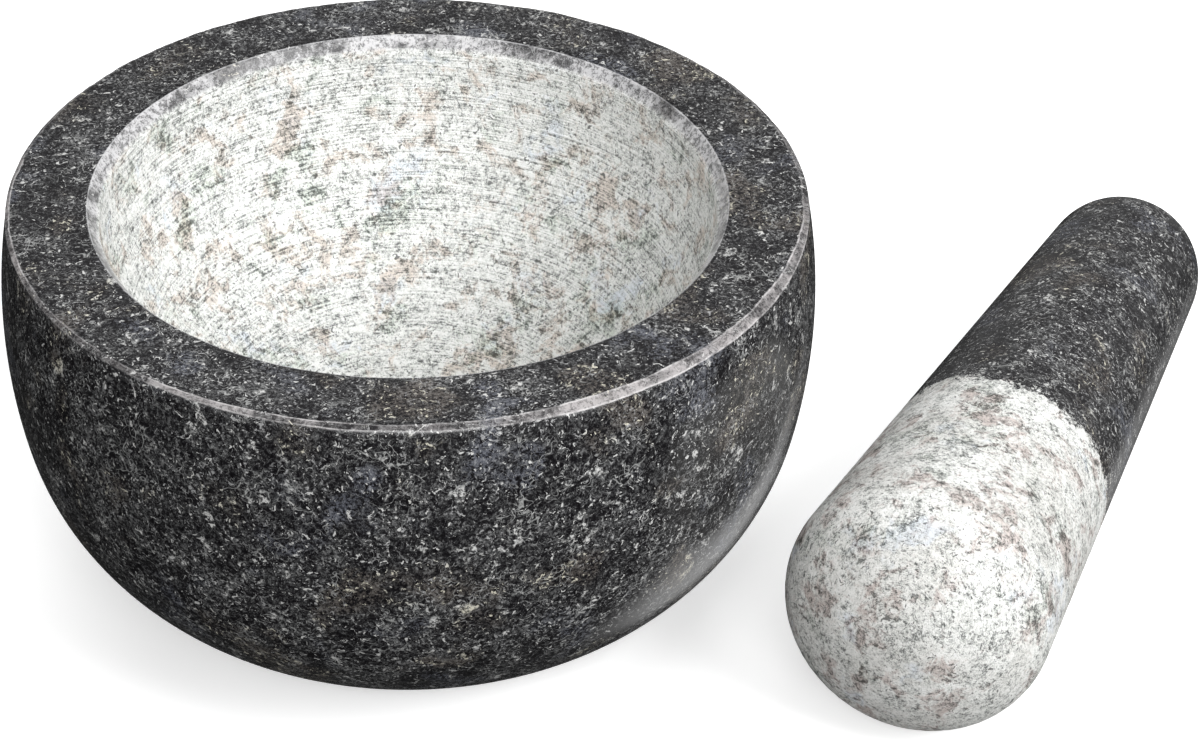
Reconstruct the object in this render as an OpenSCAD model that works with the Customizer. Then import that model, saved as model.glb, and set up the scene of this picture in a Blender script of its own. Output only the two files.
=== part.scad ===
// Two-piece stone mortar and pestle, turned and ground from solid blocks.
// Millimetres, +Z up. The origin is the centre of the mortar's flat base, on
// the table. The pestle lies on its side on the same table, beside the mortar.

/* [Mortar outside] */
// Greatest diameter, across the belly
mortar_d = 160; // [134:1:200]
// Height from the base to the flat rim
mortar_h = 84; // [68:1:102]
// Diameter of the flat ground base
base_d = 90; // [70:1:110]
// How far the widest ring lies below the rim
belly_drop = 22.4; // [14:0.1:30]
// Radius of the flank, from the rim down past the belly
flank_r = 114.6; // [108:0.1:140]
// Radius of the rounding between the flank and the base
heel_r = 52.9; // [40:0.1:64]

/* [Mortar rim and bowl] */
// Width of the arris ground round the rim's outer edge
arris_w = 1.7; // [0.5:0.1:3]
// Height of the arris
arris_h = 1; // [0.5:0.1:3]
// Width of the flat top of the rim
rim_w = 14.2; // [10:0.1:20]
// Width of the polished lip inside the rim
lip_w = 2.1; // [1:0.1:4]
// Height of the polished lip
lip_h = 2.8; // [1:0.1:6]
// Thickness of stone left under the bowl
floor_t = 22; // [14:1:30]

/* [Pestle] */
// Length over both domed ends
pestle_l = 176; // [140:1:215]
// Diameter of the rough working end
head_d = 53; // [44:1:64]
// Diameter of the polished grip at its domed end
grip_d = 34.6; // [26:0.1:42]
// Radius of the crown, the face that grinds
crown_r = 34; // [30:1:60]
// Radius of the shoulder between the crown and the side
shoulder_r = 15.5; // [10:0.5:20]

/* [Pestle on the table] */
// Gap between the mortar's belly and the working end
pestle_gap = 5.6; // [2:0.1:60]
// Heading of the grip, turned from +X towards +Y
pestle_turn = 64.6; // [0:0.1:90]
// How far the crown reaches back from the point nearest the mortar
pestle_lead = 30.3; // [0:0.1:60]

/* [Hidden] */
$fn = 180;

function unit(v) = v / norm(v);
function right_of(v) = [v[1], -v[0]];

// ---- Mortar: two tangent arcs make its outside, one arc makes its bowl ----

belly_r = mortar_d / 2;
base_r = base_d / 2;
flank_c = [belly_r - flank_r, mortar_h - belly_drop];

// The heel's centre lies heel_r from the base's edge, and flank_r - heel_r
// from the flank's centre, so the heel meets the flank with no corner.
base_run = [base_r, 0] - flank_c;
base_dist = norm(base_run);
heel_dist = flank_r - heel_r;
heel_along = (heel_dist^2 - heel_r^2 + base_dist^2) / (2 * base_dist);
heel_aside = sqrt(heel_dist^2 - heel_along^2);
heel_c = flank_c + heel_along * unit(base_run) - heel_aside * right_of(unit(base_run));

// The line on which flank and heel meet, and its height at the centre line
meet_dir = unit(heel_c - flank_c);
meet_z = flank_c[1] - flank_c[0] * meet_dir[1] / meet_dir[0];

arris_r = flank_c[0] + sqrt(flank_r^2 - (belly_drop - arris_h)^2);
rim_r = arris_r - arris_w;
mouth_r = rim_r - rim_w;
lip_r = mouth_r - lip_w;
lip_z = mortar_h - lip_h;
bowl_d = lip_z - floor_t;
bowl_r = (lip_r^2 + bowl_d^2) / (2 * bowl_d);

// The arris's line runs on this many times its own length, past the belly
arris_run = 25;

module flank_and_rim() {
  intersection() {
    translate(flank_c) circle(flank_r);
    polygon([
      [0, meet_z],
      flank_c + 2 * flank_r * meet_dir,
      [rim_r + arris_run * arris_w, mortar_h - arris_run * arris_h],
      [rim_r, mortar_h],
      [0, mortar_h]
    ]);
  }
}

module mortar_outside() {
  intersection() {
    square([2 * belly_r, mortar_h]);
    union() {
      flank_and_rim();
      translate(heel_c) circle(heel_r);
      polygon([[0, 0], [heel_c[0], 0], heel_c + heel_r / 2 * meet_dir, [0, lip_z]]);
    }
  }
}

// The lip's line runs on past both its ends, into the bowl and over the rim
module mortar_hollow() {
  intersection() {
    square([2 * belly_r, mortar_h]);
    translate([0, floor_t + bowl_r]) circle(bowl_r);
  }
  polygon([
    [0, lip_z - lip_h],
    [lip_r - lip_w, lip_z - lip_h],
    [mouth_r + lip_w, mortar_h + lip_h],
    [0, mortar_h + lip_h]
  ]);
}

module mortar() {
  color("#46464a")
    rotate_extrude()
      difference() {
        mortar_outside();
        mortar_hollow();
      }
}

// ---- Pestle: crown, shoulder, straight taper and a round grip end ----

head_r = head_d / 2;
grip_r = grip_d / 2;

// The shoulder's arc lies inside the crown's and touches it
crown_c = [0, crown_r];
shoulder_x = head_r - shoulder_r;
shoulder_c = [shoulder_x, crown_r - sqrt((crown_r - shoulder_r)^2 - shoulder_x^2)];
grip_c = [0, pestle_l - grip_r];
crown_dir = unit(shoulder_c - crown_c);

// The taper touches the shoulder's arc and the grip's end. side_dir is square
// to it, and side_r is how far it stays from the middle of the crown's face.
taper_run = grip_c - shoulder_c;
side_sin = (shoulder_r - grip_r) / norm(taper_run);
side_dir = side_sin * unit(taper_run) + sqrt(1 - side_sin^2) * right_of(unit(taper_run));
side_r = side_dir * shoulder_c + shoulder_r;
pestle_tilt = asin(side_dir[1]);

module crown() {
  intersection() {
    translate(crown_c) circle(crown_r);
    polygon([crown_c, [0, -crown_r], crown_c + 2 * crown_r * crown_dir]);
  }
}

module pestle_outline() {
  intersection() {
    square([2 * head_r, pestle_l]);
    union() {
      crown();
      translate(shoulder_c) circle(shoulder_r);
      translate(grip_c) circle(grip_r);
      polygon([
        [0, crown_r / 2],
        shoulder_c + shoulder_r / 2 * crown_dir,
        shoulder_c + shoulder_r * side_dir,
        grip_c + grip_r * side_dir,
        grip_c
      ]);
    }
  }
}

// The pestle's centre line passes the middle of the mortar at this distance
pestle_aside = belly_r + pestle_gap + head_r;

module pestle() {
  color("#4a4a4e")
    rotate([0, 0, pestle_turn])
      translate([-pestle_lead, -pestle_aside, side_r])
        rotate([0, 90 + pestle_tilt, 0])
          rotate_extrude()
            pestle_outline();
}

mortar();
pestle();
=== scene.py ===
import math
import bpy
from mathutils import Matrix, Vector, noise


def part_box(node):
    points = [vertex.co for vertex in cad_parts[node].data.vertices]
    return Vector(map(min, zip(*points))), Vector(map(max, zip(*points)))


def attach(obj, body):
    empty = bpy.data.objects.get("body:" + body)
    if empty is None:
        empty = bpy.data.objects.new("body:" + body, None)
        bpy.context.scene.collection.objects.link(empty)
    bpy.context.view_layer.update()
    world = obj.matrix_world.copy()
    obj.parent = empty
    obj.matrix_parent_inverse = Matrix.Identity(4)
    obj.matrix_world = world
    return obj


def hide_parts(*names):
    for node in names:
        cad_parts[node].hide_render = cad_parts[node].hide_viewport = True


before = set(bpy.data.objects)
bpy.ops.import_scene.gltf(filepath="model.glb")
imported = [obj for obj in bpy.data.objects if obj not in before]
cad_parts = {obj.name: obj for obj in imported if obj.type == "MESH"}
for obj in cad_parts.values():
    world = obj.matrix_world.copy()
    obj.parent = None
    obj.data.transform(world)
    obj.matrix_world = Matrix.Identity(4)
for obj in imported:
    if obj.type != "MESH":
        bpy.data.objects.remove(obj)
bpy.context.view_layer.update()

# ---------------------------------------------------------------------------
# The mortar. One block of dark granite, turned on a lathe and polished on the
# outside and the rim. The bowl is ground with a coarse wheel and left rough,
# so it looks pale. The arris round the rim is broken by hand.
# ---------------------------------------------------------------------------

mortar_low, mortar_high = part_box("mortar")
belly_radius = (mortar_high.x - mortar_low.x) / 2
rim_height = mortar_high.z
base_radius = 0.045
belly_drop = 0.0224
flank_round = 0.1146
heel_round = 0.0529
arris_width = 0.0015
arris_drop = 0.0010
rim_width = 0.0142
lip_width = 0.0021
lip_drop = 0.0028
bowl_floor = 0.022
mortar_facets = 600

# How wide the hand-ground arris is at some headings round the rim, against
# its usual width. 0 is +X and the headings turn towards +Y.
arris_by_heading = {
    -180: 0.45,
    -150: 0.45,
    -120: 0.5,
    -92: 0.65,
    -60: 1.15,
    -30: 1.15,
    0: 0.7,
    40: 0.6,
    90: 0.6,
    140: 0.5,
}
narrowest_arris = 0.3
arris_waver = 0.22
arris_nicks = 0.12

# What the grinding wheel leaves in the bowl. It fades out close under the lip
# and stops short of the very middle.
ripples_per_metre = 420
pits_per_metre = 900
ripple_depth = 0.00012
ripple_rise = 0.00006
pit_depth = 0.00008
ripple_start = 0.002
still_middle = 0.004


def arc(centre, radius, start, end, steps):
    """Points along a round stretch of an outline, between two angles in radians."""
    turns = [start + (end - start) * i / steps for i in range(steps + 1)]
    return [(centre[0] + radius * math.cos(a), centre[1] + radius * math.sin(a)) for a in turns]


def run(start, end, steps):
    """Points along a straight stretch of an outline, without its first one."""
    return [
        (start[0] + (end[0] - start[0]) * i / steps, start[1] + (end[1] - start[1]) * i / steps)
        for i in range(1, steps + 1)
    ]


def distances(outline):
    """How far along an outline each of its points lies."""
    found = [0.0]
    for before, here in zip(outline, outline[1:]):
        found.append(found[-1] + math.dist(before, here))
    return found


def turn(name, outline, around, by_hand):
    """Turns an outline of (radius, height) about Z. by_hand moves each point as the maker's hand did.

    Each point keeps where it sits on the lathe: its heading as a cosine and sine, and its distance
    along the outline."""
    points, lathe, rings, faces = [], [], [], []
    for (radius, height), distance in zip(outline, distances(outline)):
        count = 1 if radius < 1e-6 else around
        rings.append(range(len(points), len(points) + count))
        for i in range(count):
            heading = 2 * math.pi * i / around
            points.append(by_hand(radius, height, heading, distance))
            lathe.append((math.cos(heading), math.sin(heading), distance))
    for low, high in zip(rings, rings[1:]):
        for i in range(around):
            j = (i + 1) % around
            corners = [low[i % len(low)], low[j % len(low)], high[j % len(high)], high[i % len(high)]]
            faces.append(list(dict.fromkeys(corners)))
    mesh = bpy.data.meshes.new(name)
    mesh.from_pydata(points, [], faces)
    mesh.attributes.new("lathe", "FLOAT_VECTOR", "POINT").data.foreach_set(
        "vector", [part for place in lathe for part in place]
    )
    mesh.shade_smooth()
    piece = bpy.data.objects.new(name, mesh)
    bpy.context.scene.collection.objects.link(piece)
    return piece


# The outline, from the middle of the base round the outside and into the bowl
flank_centre = Vector((belly_radius - flank_round, rim_height - belly_drop))
to_base = Vector((base_radius, 0)) - flank_centre
heel_reach = flank_round - heel_round
heel_along = (heel_reach**2 - heel_round**2 + to_base.length_squared) / (2 * to_base.length)
heel_aside = math.sqrt(heel_reach**2 - heel_along**2)
heel_centre = flank_centre + to_base.normalized() * heel_along
heel_centre += Vector((-to_base.y, to_base.x)).normalized() * heel_aside

base_angle = math.atan2(-heel_centre.y, base_radius - heel_centre.x)
meet_angle = math.atan2(heel_centre.y - flank_centre.y, heel_centre.x - flank_centre.x)
arris_angle = math.asin((belly_drop - arris_drop) / flank_round)
flank_top = flank_centre.x + flank_round * math.cos(arris_angle)
arris_foot = (flank_top, rim_height - arris_drop)
rim_radius = flank_top - arris_width
mouth_radius = flank_top - arris_width - rim_width
lip_radius = mouth_radius - lip_width
lip_height = rim_height - lip_drop
bowl_deep = lip_height - bowl_floor
bowl_round = (lip_radius**2 + bowl_deep**2) / (2 * bowl_deep)
bowl_centre = (0, bowl_floor + bowl_round)
lip_angle = math.atan2(lip_height - bowl_centre[1], lip_radius)

mortar_outline = [(0, 0)]
mortar_outline += run((0, 0), (base_radius, 0), 5)
mortar_outline += arc(heel_centre, heel_round, base_angle, meet_angle, 36)[1:]
mortar_outline += arc(flank_centre, flank_round, meet_angle, arris_angle, 30)[1:]
arris_ring = len(mortar_outline) - 1
mortar_outline += run(arris_foot, (rim_radius, rim_height), 6)
rim_ring = len(mortar_outline) - 1
mortar_outline += run((rim_radius, rim_height), (mouth_radius, rim_height), 12)
mouth_ring = len(mortar_outline) - 1
mortar_outline += run((mouth_radius, rim_height), (lip_radius, lip_height), 6)
lip_ring = len(mortar_outline) - 1
mortar_outline += arc(bowl_centre, bowl_round, lip_angle, -math.pi / 2, 60)[1:-1] + [(0, bowl_floor)]
mortar_along = distances(mortar_outline)


def arris_share(heading):
    """How wide the arris is at a heading, against its usual width."""
    degrees = (math.degrees(heading) + 180) % 360 - 180
    known = sorted(arris_by_heading.items()) + [(180, arris_by_heading[-180])]
    for (left, first), (right, second) in zip(known, known[1:]):
        if left <= degrees <= right:
            t = (degrees - left) / (right - left)
            t = t * t * (3 - 2 * t)
            share = first + (second - first) * t
    waver = noise.noise(Vector((math.cos(heading), math.sin(heading), 0)) * 9)
    nick = noise.noise(Vector((math.cos(heading), math.sin(heading), 1)) * 40)
    return max(narrowest_arris, share + arris_waver * waver + arris_nicks * nick)


def hand_turned(radius, height, heading, distance):
    """The mortar's own small unevenness: an arris that wanders round the rim, and a rippled, pitted bowl."""
    cos, sin = math.cos(heading), math.sin(heading)
    if distance > mortar_along[lip_ring]:
        wave = noise.noise(Vector((cos * 2, sin * 2, distance * ripples_per_metre)))
        pit = noise.noise(Vector((radius * cos, radius * sin, height)) * pits_per_metre)
        worked = min(1, (distance - mortar_along[lip_ring]) / ripple_start)
        radius += worked * (ripple_depth * wave + pit_depth * pit) if radius > still_middle else 0
        height += worked * ripple_rise * wave if radius > still_middle else 0
    elif mortar_along[arris_ring] <= distance <= mortar_along[rim_ring]:
        share = arris_share(heading)
        down = (rim_height - height) / arris_drop
        across = (radius - rim_radius) / arris_width
        radius = flank_top - arris_width * share * (1 - across)
        height = rim_height - arris_drop * share * down
        if across == 1:
            radius = flank_centre.x + math.sqrt(flank_round**2 - (height - flank_centre.y) ** 2)
    elif mortar_along[rim_ring] < distance < mortar_along[mouth_ring]:
        across = (radius - mouth_radius) / rim_width
        radius -= (arris_share(heading) - 1) * arris_width * max(0, across) ** 2
    return (radius * cos, radius * sin, height)


mortar = turn("granite_mortar", mortar_outline, mortar_facets, hand_turned)


def lay(tree, kind, feeds, **settings):
    """Lays one node in a material, and feeds its sockets with numbers or with other nodes' outputs."""
    node = tree.nodes.new("ShaderNode" + kind)
    for name, value in settings.items():
        setattr(node, name, value)
    for socket, value in feeds.items():
        if isinstance(value, bpy.types.NodeSocket):
            tree.links.new(value, node.inputs[socket])
        else:
            node.inputs[socket].default_value = value
    return node


def work(tree, operation, first, second=0.5, third=0.5):
    """One sum on two or three values of a material."""
    return lay(tree, "Math", {0: first, 1: second, 2: third}, operation=operation).outputs[0]


def fade(tree, value, low, high, to_low=0.0, to_high=1.0):
    """Turns a value that runs from low to high into one from to_low to to_high, with soft ends."""
    feeds = {"Value": value, "From Min": low, "From Max": high, "To Min": to_low, "To Max": to_high}
    return lay(tree, "MapRange", feeds, interpolation_type="SMOOTHSTEP").outputs["Result"]


def tint(tree, share, under, over, blend="MIX"):
    """Lays one colour over another, by share. With MULTIPLY it stains the colour and keeps its grain."""
    feeds = {0: share, 6: under, 7: over}
    return lay(tree, "Mix", feeds, data_type="RGBA", blend_type=blend).outputs[2]


def ramp(tree, value, stops):
    """Turns a value into a colour, by the colours at a few stops."""
    node = lay(tree, "ValToRGB", {"Fac": value})
    points = node.color_ramp.elements
    while len(points) < len(stops):
        points.new(1.0)
    for point, (place, colour) in zip(points, stops):
        point.position = place
        point.color = (*colour, 1)
    return node.outputs["Color"]


def cloud(tree, where, size, detail=2.0, rough=0.5):
    """Uneven tone about 0.5, with clouds of about the size given in metres and finer ones within them."""
    feeds = {"Vector": where, "Scale": 1 / size, "Detail": detail, "Roughness": rough}
    return lay(tree, "TexNoise", feeds).outputs["Fac"]


def add(tree, tone, part, share):
    """Adds a share of an uneven tone to another, and keeps the middle where it was."""
    return work(tree, "ADD", tone, work(tree, "MULTIPLY_ADD", part, share, -share / 2))


def threads(tree, where, size, thin):
    """Fine curved threads between crystals, where a cloud's tone passes its middle."""
    off_middle = work(tree, "ABSOLUTE", work(tree, "SUBTRACT", cloud(tree, where, size, 2.0, 0.5), 0.5))
    return fade(tree, off_middle, 0.0, thin, 1.0, 0.0)


def stirred(tree, where, size, by):
    """Places in the stone, pushed about so that nothing in it lies on a grid."""
    push = lay(tree, "TexNoise", {"Vector": where, "Scale": 1 / size, "Detail": 1.0}).outputs["Color"]
    centred = lay(tree, "VectorMath", {0: push, 1: (0.5, 0.5, 0.5)}, operation="SUBTRACT").outputs[0]
    moved = lay(tree, "VectorMath", {0: centred, 1: (by, by, by)}, operation="MULTIPLY").outputs[0]
    return lay(tree, "VectorMath", {0: where, 1: moved}, operation="ADD").outputs[0]


def lathe_marks(tree, lathe, length, pitch, detail=2.0):
    """Uneven tone that runs round the lathe's axis: long in heading, and a pitch in metres apart."""
    scale = (1 / length, 1 / length, 1 / pitch)
    scaled = lay(tree, "VectorMath", {0: lathe, 1: scale}, operation="MULTIPLY")
    feeds = {"Vector": scaled.outputs[0], "Scale": 1.0, "Detail": detail, "Roughness": 0.6}
    return lay(tree, "TexNoise", feeds).outputs["Fac"]


# How far crystals lie out of a regular order, and the wheel's marks: how long
# they run round the piece, and how far apart they are, in metres
stir_size = 0.002
stir_by = 0.0010
groove_length = 0.25
groove_pitch = 0.0004


def polished_granite(tree, where):
    """Colour of dark granite under polish: near black, with grey flakes, fine threads and pale flecks.

    The sizes are those of the crystals and their clusters, in metres."""
    grain = 0.0010
    clot = 0.0045
    patch = 0.008
    flake = 0.0008
    fleck = 0.0011
    clump = 0.0042
    short_thread = 0.0034
    long_thread = 0.0070
    thread_bed = 0.0085
    hue_patch = 0.018
    flake_grey = (0.38, 0.382, 0.385, 1)
    smoky_blue = (0.19, 0.205, 0.26, 1)
    smoky_brown = (0.15, 0.125, 0.105, 1)
    chalk = (0.56, 0.56, 0.55, 1)
    cream = (0.56, 0.53, 0.42, 1)
    thread_grey = (0.33, 0.335, 0.33, 1)

    stone = stirred(tree, where, stir_size, stir_by)
    patches = cloud(tree, where, patch, 2.0, 0.6)
    tone = add(tree, cloud(tree, stone, grain, 3.0, 0.95), cloud(tree, stone, clot, 2.0, 0.6), 0.20)
    tone = add(tree, tone, patches, 0.18)
    colour = ramp(tree, tone, [
        (0.38, (0.0048, 0.0042, 0.0052)),
        (0.45, (0.0100, 0.0095, 0.0110)),
        (0.50, (0.018, 0.018, 0.019)),
        (0.55, (0.033, 0.033, 0.034)),
        (0.61, (0.066, 0.067, 0.069)),
        (0.70, (0.17, 0.17, 0.17)),
    ])
    flakes = fade(tree, cloud(tree, stirred(tree, where, 0.0015, 0.0020), flake, 2.0, 0.8), 0.575, 0.66)
    flakes = work(tree, "MULTIPLY", flakes, fade(tree, patches, 0.40, 0.60, 0.15, 0.85))
    colour = tint(tree, flakes, colour, flake_grey)

    hue = cloud(tree, stirred(tree, where, 0.012, 0.02), hue_patch, 1.0)
    blue = work(tree, "MULTIPLY", fade(tree, hue, 0.58, 0.74, 0.0, 0.3), fade(tree, tone, 0.44, 0.56))
    colour = tint(tree, blue, colour, smoky_blue)
    brown = work(tree, "MULTIPLY", fade(tree, hue, 0.30, 0.44, 0.35, 0.0), fade(tree, tone, 0.44, 0.56))
    colour = tint(tree, brown, colour, smoky_brown)

    flecks = fade(tree, cloud(tree, stirred(tree, where, 0.002, 0.003), fleck, 2.0, 0.7), 0.63, 0.68)
    clumps = fade(tree, cloud(tree, stirred(tree, where, 0.003, 0.004), clump, 3.0, 0.7), 0.605, 0.675)
    clumps = work(tree, "MULTIPLY", clumps, fade(tree, tone, 0.47, 0.56, 0.1, 1.0))
    flecks = work(tree, "MAXIMUM", flecks, clumps)
    white = tint(tree, fade(tree, hue, 0.36, 0.46, 0.8, 0.0), chalk, cream)
    colour = tint(tree, work(tree, "MULTIPLY", flecks, 0.95), colour, white)

    curled = stirred(tree, where, 0.0035, 0.0024)
    short = threads(tree, curled, short_thread, 0.012)
    long = threads(tree, curled, long_thread, 0.0065)
    net = work(tree, "MAXIMUM", short, long)
    beds = fade(tree, cloud(tree, where, thread_bed, 4.0, 0.75), 0.47, 0.58, 0.0, 0.9)
    colour = tint(tree, work(tree, "MULTIPLY", net, beds), colour, thread_grey)
    return colour, tone


def ground_granite(tree, where, lathe, grooves, patchy, rusty, greens):
    """Colour of the same stone ground rough: bruised pale and peppered dark, with coloured patches.

    grooves is how strongly the wheel's marks show, patchy how uneven the stone is, rusty the stain of
    its brown patches, and greens how strongly its green patches show. The sizes are in metres."""
    grain = 0.0010
    speck = 0.0010
    cluster = 0.0035
    patch = 0.009
    rust_patch = 0.009
    green_patch = 0.011
    blue_patch = 0.012
    scratch_length = 0.05
    scratch_pitch = 0.00022
    green_stain = (0.86, 0.92, 0.85, 1)
    blue_stain = (0.88, 0.92, 1.0, 1)
    speck_black = (0.08, 0.085, 0.08, 1)

    stone = stirred(tree, where, stir_size, stir_by)
    rust = fade(tree, cloud(tree, stirred(tree, where, 0.006, 0.008), rust_patch, 4.0, 0.75), 0.505, 0.625)
    green = fade(tree, cloud(tree, stirred(tree, where, 0.005, 0.009), green_patch, 4.0, 0.7), 0.54, 0.68)
    tone = add(tree, cloud(tree, stone, grain, 3.0, 1.0), cloud(tree, where, patch, 3.0, 0.6), 0.26 * patchy)
    clusters = cloud(tree, stirred(tree, where, 0.004, 0.004), cluster, 2.0, 0.6)
    tone = add(tree, tone, clusters, 0.30 * patchy)
    tone = add(tree, tone, lathe_marks(tree, lathe, groove_length, groove_pitch, 1.0), grooves)
    tone = add(tree, tone, lathe_marks(tree, lathe, scratch_length, scratch_pitch), 0.16)
    stained = work(tree, "MULTIPLY", work(tree, "ADD", rust, green), 0.09 * patchy)
    tone = work(tree, "SUBTRACT", tone, stained)
    colour = ramp(tree, tone, [
        (0.30, (0.10, 0.105, 0.10)),
        (0.38, (0.31, 0.32, 0.31)),
        (0.43, (0.52, 0.53, 0.515)),
        (0.48, (0.68, 0.69, 0.67)),
        (0.55, (0.80, 0.805, 0.785)),
        (0.62, (0.85, 0.855, 0.845)),
    ])
    blue = fade(tree, cloud(tree, stirred(tree, where, 0.004, 0.01), blue_patch, 3.0, 0.6), 0.58, 0.72)
    colour = tint(tree, work(tree, "MULTIPLY", rust, patchy), colour, rusty, "MULTIPLY")
    colour = tint(tree, work(tree, "MULTIPLY", green, greens), colour, green_stain, "MULTIPLY")
    colour = tint(tree, blue, colour, blue_stain, "MULTIPLY")
    specks = fade(tree, cloud(tree, stirred(tree, where, 0.002, 0.003), speck, 2.0, 0.6), 0.645, 0.685)
    colour = tint(tree, work(tree, "MULTIPLY", specks, 0.85), colour, speck_black)
    return colour, tone


bowl_grooves = 0.32
bowl_patchy = 0.9
bowl_greens = 0.7
bowl_rust = (0.86, 0.765, 0.71, 1)
bruise_and_reflection_grey = (0.36, 0.34, 0.34, 1)
wear_and_highlight_white = (0.62, 0.60, 0.60, 1)
lip_reflection_grey = (0.58, 0.575, 0.585, 1)
mouth_grey = (0.55, 0.55, 0.56, 1)
wear_and_highlight_line = 0.00030
mouth_line_width = 0.00025
lip_blend = 0.0012
fine_blend = 0.0002
wander_size = 0.0012
wander = 0.0008
polish_dark = 0.16
polish_grey = 0.30
bowl_dull = 0.9
bowl_relief = 0.0005

# Headings where the arris is painted paler: a heading in degrees, how far it
# reaches to each side, and how strongly. At -45, on the near right, the key
# light glints on the arris, and the extra paleness there is painted reflection
paler_arris_headings = [(-45, 50, 1.0), (-114, 22, 0.9), (-176, 24, 1.0)]
least_paleness = 0.35

mortar_granite = bpy.data.materials.new("mortar_granite")
mortar_granite.use_nodes = True
tree = mortar_granite.node_tree
surface = tree.nodes["Principled BSDF"]
where = lay(tree, "TexCoord", {}).outputs["Object"]
lathe = lay(tree, "Attribute", {}, attribute_name="lathe").outputs["Vector"]
along = lay(tree, "SeparateXYZ", {0: lathe}).outputs["Z"]
edge = work(tree, "MULTIPLY_ADD", cloud(tree, where, wander_size, 3.0, 0.7), wander, -wander / 2)
edge = work(tree, "ADD", along, edge)

dark_colour, dark_tone = polished_granite(tree, where)
pale_colour, pale_tone = ground_granite(
    tree, where, lathe, bowl_grooves, bowl_patchy, bowl_rust, bowl_greens
)

foot, top, mouth, lip = (mortar_along[i] for i in (arris_ring, rim_ring, mouth_ring, lip_ring))
in_bowl = fade(tree, edge, lip - lip_blend, lip + 0.0003)
on_lip = fade(tree, edge, mouth - fine_blend, mouth + 0.0001)
on_arris = fade(tree, edge, foot - fine_blend, foot + fine_blend)
on_arris = work(tree, "MULTIPLY", on_arris, fade(tree, edge, top - fine_blend, top + 0.0001, 1.0, 0.0))
paleness_by_heading = least_paleness
for heading, reach, hard in paler_arris_headings:
    way = (math.cos(math.radians(heading)), math.sin(math.radians(heading)), 0)
    near = lay(tree, "VectorMath", {0: lathe, 1: way}, operation="DOT_PRODUCT").outputs["Value"]
    near = fade(tree, near, math.cos(math.radians(reach)), math.cos(math.radians(reach / 2)), 0.0, hard)
    paleness_by_heading = work(tree, "MAXIMUM", paleness_by_heading, near)
# The bruised stone of the arris, painted paler at the headings above; at the near right this stands in for
# the key light's reflection
uneven = fade(tree, cloud(tree, where, 0.010, 4.0, 0.7), 0.38, 0.58, 0.15, 0.95)
bruise_and_reflection = work(tree, "MULTIPLY", paleness_by_heading, uneven)
bruise_and_reflection = work(tree, "MULTIPLY", bruise_and_reflection, fade(tree, dark_tone, 0.42, 0.54, 0.40, 1.0))
bruise_and_reflection = work(tree, "MULTIPLY", bruise_and_reflection, on_arris)
colour = tint(tree, bruise_and_reflection, dark_colour, bruise_and_reflection_grey)
# Thin pale lines on the arris's top and foot edges: worn stone and a painted highlight where the polished
# edges catch the light
crest_wear_and_highlight = fade(tree, work(tree, "ABSOLUTE", work(tree, "SUBTRACT", along, top)), 0.0, wear_and_highlight_line, 0.8, 0.0)
brink_wear_and_highlight = fade(tree, work(tree, "ABSOLUTE", work(tree, "SUBTRACT", along, foot)), 0.0, wear_and_highlight_line, 0.6, 0.0)
patchy = fade(tree, cloud(tree, where, 0.005, 4.0, 0.8), 0.40, 0.56, 0.30, 1.0)
wear_and_highlight = work(tree, "MULTIPLY", work(tree, "MAXIMUM", crest_wear_and_highlight, brink_wear_and_highlight), work(tree, "MULTIPLY", patchy, paleness_by_heading))
colour = tint(tree, wear_and_highlight, colour, wear_and_highlight_white)
off_mouth = work(tree, "ABSOLUTE", work(tree, "SUBTRACT", along, mouth))
mouth_line = fade(tree, off_mouth, 0.0, mouth_line_width, 0.7, 0.0)
# The lip's pale, mottled grey is a painted reflection of the lights on the polished lip, broken up by the
# stone's crystals
lip_reflection = fade(tree, cloud(tree, where, 0.009, 4.0, 0.65), 0.38, 0.56, 0.25, 0.95)
lip_reflection = work(tree, "MULTIPLY", lip_reflection, fade(tree, dark_tone, 0.42, 0.55, 0.25, 1.0))
colour = tint(tree, work(tree, "MULTIPLY", on_lip, lip_reflection), colour, lip_reflection_grey)
colour = tint(tree, work(tree, "MULTIPLY", mouth_line, patchy), colour, mouth_grey)
colour = tint(tree, in_bowl, colour, pale_colour)
tree.links.new(colour, surface.inputs["Base Color"])

# Roughness: darker crystals take the better polish, and the bowl is dull
shine = fade(tree, dark_tone, 0.40, 0.60, polish_dark, polish_grey)
shine = work(tree, "MULTIPLY_ADD", bruise_and_reflection, 0.35, shine)
shine = work(tree, "MULTIPLY_ADD", on_lip, 0.15, shine)
shine = work(tree, "MAXIMUM", shine, work(tree, "MULTIPLY", in_bowl, bowl_dull))
tree.links.new(shine, surface.inputs["Roughness"])

marks = lathe_marks(tree, lathe, groove_length, groove_pitch, 1.0)
grit = work(tree, "MULTIPLY", add(tree, pale_tone, marks, 0.9), in_bowl)
bump = lay(tree, "Bump", {"Strength": 0.7, "Distance": bowl_relief, "Height": grit})
tree.links.new(bump.outputs["Normal"], surface.inputs["Normal"])

mortar.data.materials.append(mortar_granite)
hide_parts("mortar")
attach(mortar, "mortar")

# ---------------------------------------------------------------------------
# The pestle. A club of the same granite, turned with a slow taper and a dome
# at each end. The thick end is ground rough to grip the food, and the thin
# end is polished for the hand. It lies loose on the table.
# ---------------------------------------------------------------------------

pestle_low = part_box("pestle")[0]
pestle_long = 0.176
head_radius = 0.0265
grip_radius = 0.0173
crown_round = 0.034
shoulder_round = 0.0155
pestle_heading = math.radians(64.6)
rough_length = 0.066
pestle_facets = 400
rough_edge = 0.001
rough_pits = 0.00006
still_crown = 0.002

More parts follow.
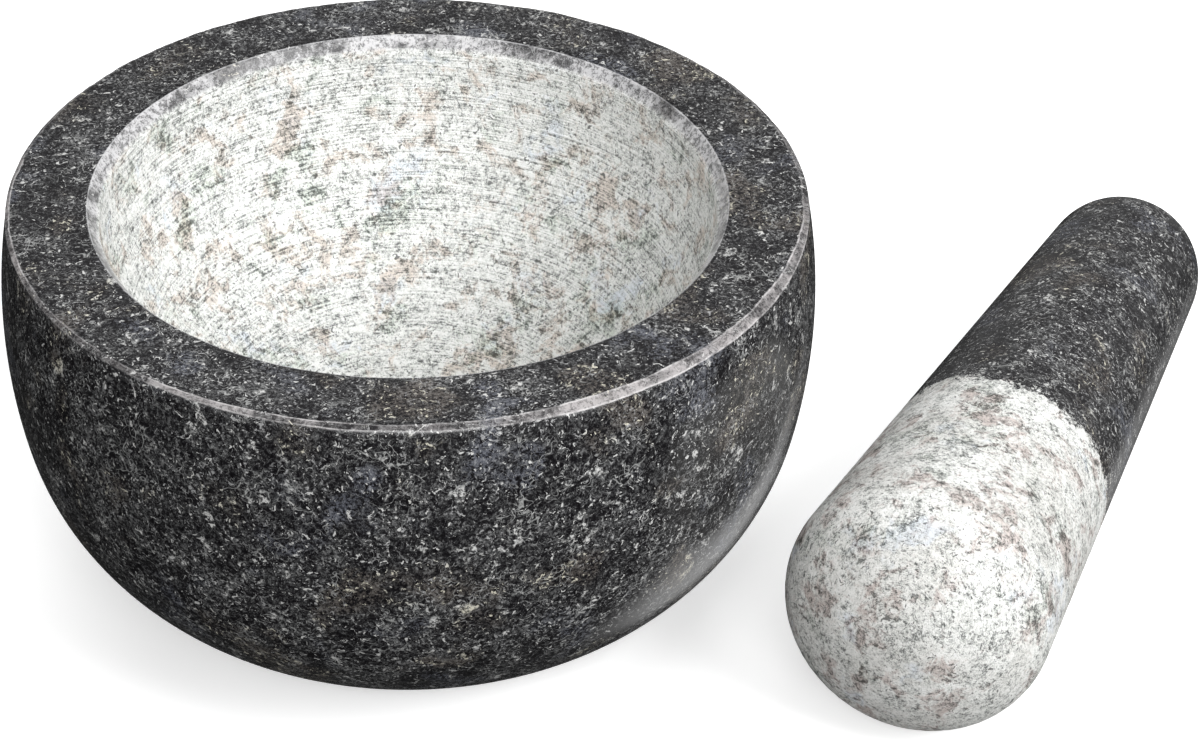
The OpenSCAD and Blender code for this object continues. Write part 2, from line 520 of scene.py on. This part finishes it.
shoulder_centre = Vector((
    head_radius - shoulder_round,
    crown_round - math.sqrt((crown_round - shoulder_round) ** 2 - (head_radius - shoulder_round) ** 2),
))
grip_centre = Vector((0, pestle_long - grip_radius))
taper_run = grip_centre - shoulder_centre
lean = math.atan2(-taper_run.x, taper_run.y) + math.asin((shoulder_round - grip_radius) / taper_run.length)
crown_angle = math.atan2(shoulder_centre.y - crown_round, shoulder_centre.x)
shoulder_foot = shoulder_centre + Vector((math.cos(lean), math.sin(lean))) * shoulder_round
grip_foot = grip_centre + Vector((math.cos(lean), math.sin(lean))) * grip_radius

pestle_outline = [(0, 0)] + arc((0, crown_round), crown_round, -math.pi / 2, crown_angle, 22)[1:]
pestle_outline += arc(shoulder_centre, shoulder_round, crown_angle, lean, 20)[1:]
pestle_outline += run(shoulder_foot, grip_foot, 110)
pestle_outline += arc(grip_centre, grip_radius, lean, math.pi / 2, 28)[1:-1] + [(0, pestle_long)]


def hand_ground(radius, height, heading, distance):
    """The pestle's own unevenness: fine pits where it is ground rough."""
    cos, sin = math.cos(heading), math.sin(heading)
    pit = noise.noise(Vector((radius * cos, radius * sin, height)) * pits_per_metre)
    rough = max(0, min(1, (rough_length - height) / rough_edge))
    radius += rough_pits * pit * rough if radius > still_crown else 0
    return (radius * cos, radius * sin, height)


pestle = turn("granite_pestle", pestle_outline, pestle_facets, hand_ground)
lying = Matrix.Rotation(pestle_heading, 4, "Z") @ Matrix.Rotation(math.pi / 2 + lean, 4, "Y")
pestle.data.transform(lying)
corner = Vector(min(v.co[i] for v in pestle.data.vertices) for i in range(3))
pestle.data.transform(Matrix.Translation(pestle_low - corner))

stroke_slant = 0.022
end_grooves = 0.20
end_patchy = 1.0
end_greens = 0.35
end_rust = (0.79, 0.705, 0.69, 1)
soil = (0.83, 0.82, 0.81, 1)
soil_patch = 0.016
ragged_size = 0.0030
ragged_reach = 0.020
end_dull = 0.85
grip_polish = 0.25
end_relief = 0.0004

pestle_granite = bpy.data.materials.new("pestle_granite")
pestle_granite.use_nodes = True
tree = pestle_granite.node_tree
surface = tree.nodes["Principled BSDF"]
where = lay(tree, "TexCoord", {}).outputs["Object"]
lathe = lay(tree, "Attribute", {}, attribute_name="lathe").outputs["Vector"]
along = lay(tree, "SeparateXYZ", {0: lathe}).outputs["Z"]
ragged = cloud(tree, where, ragged_size, 4.0, 0.9)
ragged = work(tree, "MULTIPLY_ADD", ragged, ragged_reach, -ragged_reach / 2)
edge = work(tree, "ADD", along, ragged)
dark_colour, dark_tone = polished_granite(tree, where)

# The maker's strokes run round the pestle on a slant, twice as close as the marks in the bowl
slant = work(tree, "MULTIPLY_ADD", lay(tree, "SeparateXYZ", {0: lathe}).outputs["X"], stroke_slant, along)
hand_strokes = lay(tree, "CombineXYZ", {"Z": slant}).outputs[0]
hand_strokes = lay(tree, "VectorMath", {0: hand_strokes, 1: lathe}, operation="ADD").outputs[0]
pale_colour, pale_tone = ground_granite(
    tree, where, hand_strokes, end_grooves, end_patchy, end_rust, end_greens
)
soiled = cloud(tree, stirred(tree, where, 0.01, 0.01), soil_patch, 3.0, 0.6)
soiled = fade(tree, soiled, 0.40, 0.60, 0.3, 1.0)
pale_colour = tint(tree, soiled, pale_colour, soil, "MULTIPLY")

pestle_along = distances(pestle_outline)
rough_end = next(far for (_, height), far in zip(pestle_outline, pestle_along) if height > rough_length)
polish = fade(tree, edge, rough_end - rough_edge, rough_end + rough_edge)
colour = tint(tree, polish, pale_colour, dark_colour)
tree.links.new(colour, surface.inputs["Base Color"])
shine = fade(tree, polish, 0.0, 1.0, end_dull, grip_polish)
tree.links.new(shine, surface.inputs["Roughness"])
grit = work(tree, "MULTIPLY", pale_tone, work(tree, "SUBTRACT", 1.0, polish))
bump = lay(tree, "Bump", {"Strength": 0.6, "Distance": end_relief, "Height": grit})
tree.links.new(bump.outputs["Normal"], surface.inputs["Normal"])

pestle.data.materials.append(pestle_granite)
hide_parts("pestle")
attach(pestle, "pestle")

# ---------------------------------------------------------------------------
# The studio. A plain pale table, large soft lights all round, and a camera
# with a long lens that looks down on the pair from the front.
# ---------------------------------------------------------------------------

table_size = 4.0
table_glow = 0.38
table_mesh = bpy.data.meshes.new("table")
half = table_size / 2
table_mesh.from_pydata(
    [(-half, -half, 0), (half, -half, 0), (half, half, 0), (-half, half, 0)], [], [(0, 1, 2, 3)]
)
table = bpy.data.objects.new("table", table_mesh)
bpy.context.scene.collection.objects.link(table)
table_white = bpy.data.materials.new("table_white")
table_white.use_nodes = True
table_surface = table_white.node_tree.nodes["Principled BSDF"]
table_surface.inputs["Base Color"].default_value = (0.92, 0.92, 0.92, 1)
table_surface.inputs["Roughness"].default_value = 0.9
table_surface.inputs["Specular IOR Level"].default_value = 0.0
table_surface.inputs["Emission Color"].default_value = (1, 1, 1, 1)
table_surface.inputs["Emission Strength"].default_value = table_glow
table_mesh.materials.append(table_white)
table.visible_glossy = False
table.visible_diffuse = False

target = Vector((0.04, 0, 0.04))


def softbox(name, place, wide, high, power):
    """A large soft light that faces the pair."""
    light = bpy.data.lights.new(name, "AREA")
    light.shape = "RECTANGLE"
    light.size = wide
    light.size_y = high
    light.energy = power
    lamp = bpy.data.objects.new(name, light)
    lamp.location = place
    lamp.rotation_mode = "QUATERNION"
    lamp.rotation_quaternion = (target - Vector(place)).to_track_quat("-Z", "Y")
    bpy.context.scene.collection.objects.link(lamp)
    return lamp


softbox("key_right", (1.1, -0.7, 1.0), 0.9, 0.9, 20)
softbox("front", (0.0, -1.4, 0.9), 1.0, 0.7, 15)
softbox("fill_left", (-1.1, -0.8, 0.8), 0.8, 0.8, 2)
softbox("back", (-0.1, 1.6, 0.7), 1.6, 0.8, 9).visible_glossy = False
softbox("top", (0.1, 0.1, 1.6), 1.4, 1.4, 10).visible_glossy = False

world = bpy.data.worlds.new("studio")
world.use_nodes = True
bpy.context.scene.world = world
tree = world.node_tree
tree.nodes.clear()
rays = lay(tree, "LightPath", {})
glossy = rays.outputs["Is Glossy Ray"]
looking = lay(tree, "TexCoord", {}).outputs["Generated"]
upward = lay(tree, "SeparateXYZ", {0: looking}).outputs["Z"]
rightward = lay(tree, "SeparateXYZ", {0: looking}).outputs["X"]

# The room is bright above and dim below and to the left. Its reflections are
# dimmer than its light, and dimmest low down.
low_glow = work(tree, "MULTIPLY_ADD", glossy, -0.41, 0.46)
room = fade(tree, upward, -0.45, 0.05, low_glow, 0.42)
room = work(tree, "MULTIPLY", room, fade(tree, rightward, -0.9, 0.4, 0.35, 1.0))
room = work(tree, "MULTIPLY", room, work(tree, "MULTIPLY_ADD", glossy, -0.35, 1.0))

# A white card low on the right shows only in reflections
card_way = (0.58, 0.40, -0.71)
card = lay(tree, "VectorMath", {0: looking, 1: card_way}, operation="DOT_PRODUCT").outputs["Value"]
card = work(tree, "MULTIPLY", fade(tree, card, 0.92, 0.985, 0.0, 1.1), glossy)

white = (1, 1, 1, 1)
unseen = lay(tree, "Background", {"Color": white, "Strength": work(tree, "ADD", room, card)})
seen = lay(tree, "Background", {"Color": white})
shown = lay(tree, "MixShader", {0: rays.outputs["Is Camera Ray"], 1: unseen.outputs[0], 2: seen.outputs[0]})
lay(tree, "OutputWorld", {"Surface": shown.outputs[0]})
bpy.context.scene.view_settings.view_transform = "Standard"

camera_data = bpy.data.cameras.new("camera")
camera_data.lens = 116
camera_data.sensor_width = 36
camera = bpy.data.objects.new("camera", camera_data)
bpy.context.scene.collection.objects.link(camera)
camera_place = Vector((0, -0.6378, 0.4866))
camera_aim = Vector((0.0378, 0, 0.0398))
camera_roll = math.radians(0.88)
camera.location = camera_place
camera.rotation_mode = "QUATERNION"
camera.rotation_quaternion = (camera_aim - camera_place).to_track_quat("-Z", "Y")
camera.rotation_quaternion @= Matrix.Rotation(camera_roll, 4, "Z").to_quaternion()
bpy.context.scene.camera = camera
